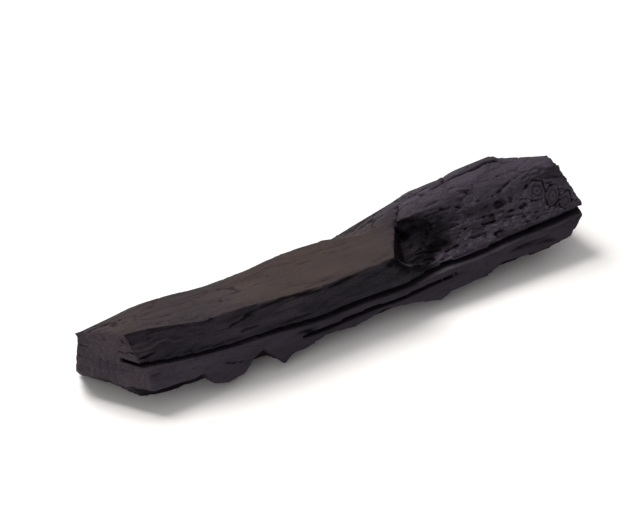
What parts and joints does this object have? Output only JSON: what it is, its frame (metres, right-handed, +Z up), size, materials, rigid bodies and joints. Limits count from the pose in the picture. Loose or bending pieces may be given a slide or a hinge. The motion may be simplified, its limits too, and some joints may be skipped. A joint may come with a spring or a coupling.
{
  "type": "charcoal lump",
  "caption": "Lump of lumpwood charcoal: a split billet with a flat-topped thin end, a thick knotty head and broken ends.",
  "frame": {"origin": "middle of the bounding box's underside, on the surface that the lump lies on", "axes": "+X along the grain towards the thick knotty head, +Y towards the curved bark side, +Z up from the flat split face that it lies on"},
  "size_m": [0.1632, 0.0398, 0.0299],
  "materials": {
    "charcoal": "matte carbonised wood, dark grey with a brownish ash bloom on the upper faces and a faint gloss on fresh breaks"
  },
  "bodies": {
    "root": {"charcoal_lump": "charcoal"}
  },
  "joints": []
}
